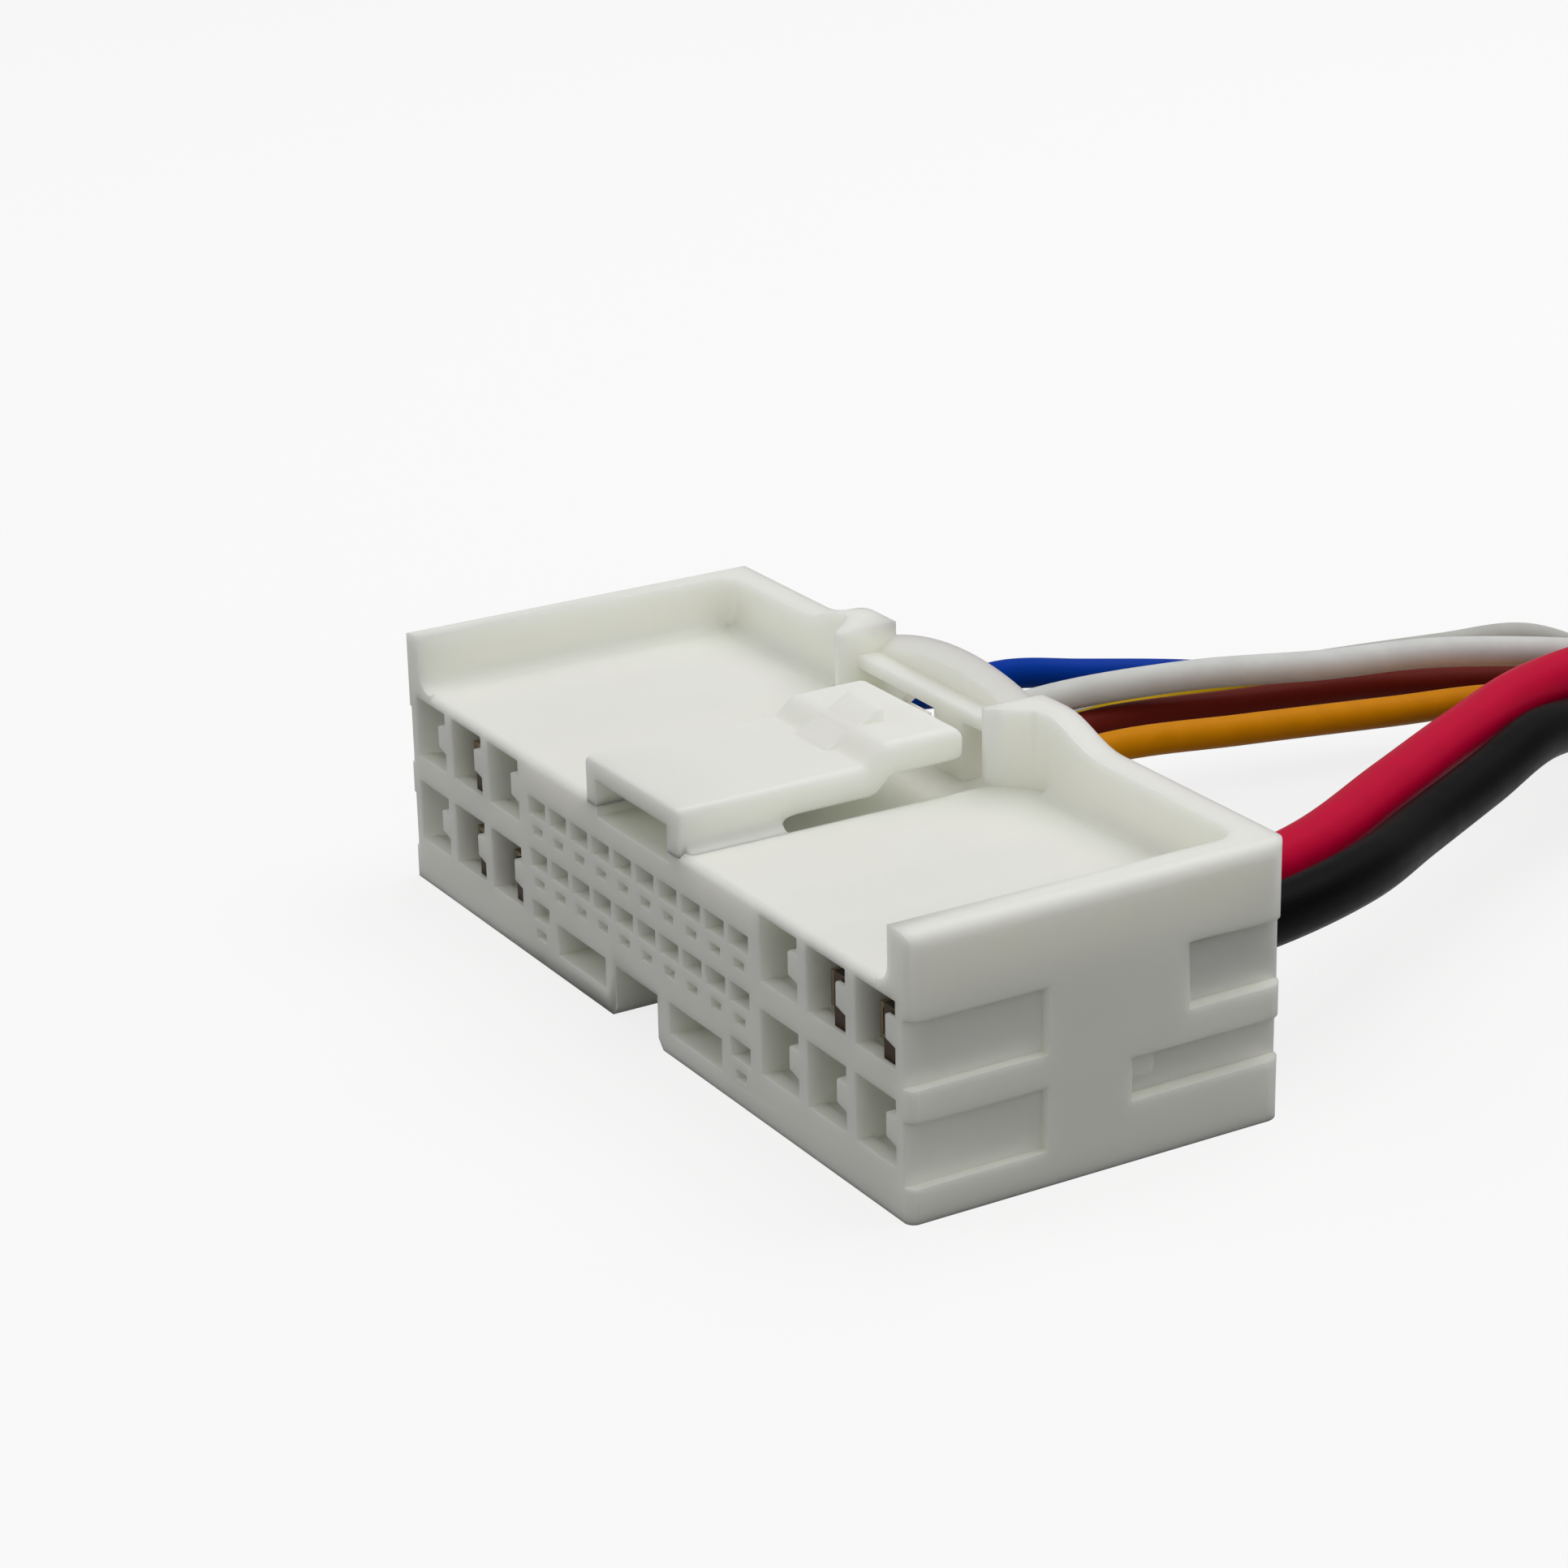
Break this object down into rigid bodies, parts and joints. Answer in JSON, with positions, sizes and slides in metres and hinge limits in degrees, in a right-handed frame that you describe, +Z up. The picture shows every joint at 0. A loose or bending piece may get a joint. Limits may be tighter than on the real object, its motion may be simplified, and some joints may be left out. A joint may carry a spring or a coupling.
{
  "type": "wiring harness connector",
  "caption": "Moulded hybrid plug with power and signal cavities, raised rims, a press latch under an arched guard, and a pigtail of coloured leads folded in a tied hank.",
  "frame": {"origin": "centre of the housing's bottom", "axes": "+X across the width, +Y from the mating face to the leads, +Z up"},
  "size_m": [0.0488, 0.1233, 0.015],
  "materials": {
    "natural_nylon": "satin",
    "tinned_brass": "satin",
    "pvc_blue": "soft sheen",
    "pvc_white": "soft sheen",
    "pvc_grey": "soft sheen",
    "pvc_yellow": "soft sheen",
    "pvc_brown": "soft sheen",
    "pvc_orange": "soft sheen",
    "pvc_red": "soft sheen",
    "pvc_black": "soft sheen",
    "pvc_mixed": "soft sheen",
    "black_tie": "satin"
  },
  "bodies": {
    "plug": {"housing": "natural_nylon", "terminal_blue": "tinned_brass", "terminal_grey": "tinned_brass", "terminal_yellow": "tinned_brass", "terminal_red": "tinned_brass", "terminal_black": "tinned_brass", "terminal_white": "tinned_brass", "terminal_brown": "tinned_brass", "terminal_orange": "tinned_brass", "wire_blue": "pvc_blue", "wire_white": "pvc_white", "wire_grey": "pvc_grey", "wire_yellow": "pvc_yellow", "wire_brown": "pvc_brown", "wire_orange": "pvc_orange", "wire_red": "pvc_red", "wire_black": "pvc_black", "wire_hank": "pvc_mixed", "hank_tie": "black_tie"},
    "latch": {"latch_lever": "natural_nylon"}
  },
  "joints": [
    {"name": "latch_press", "type": "hinge", "parent": "plug", "child": "latch", "pos_m": [0, -0.00445, 0.0113], "axis": [-1, 0, 0], "range_deg": [0, 8], "stiffness_Nm_per_rad": 1}
  ]
}
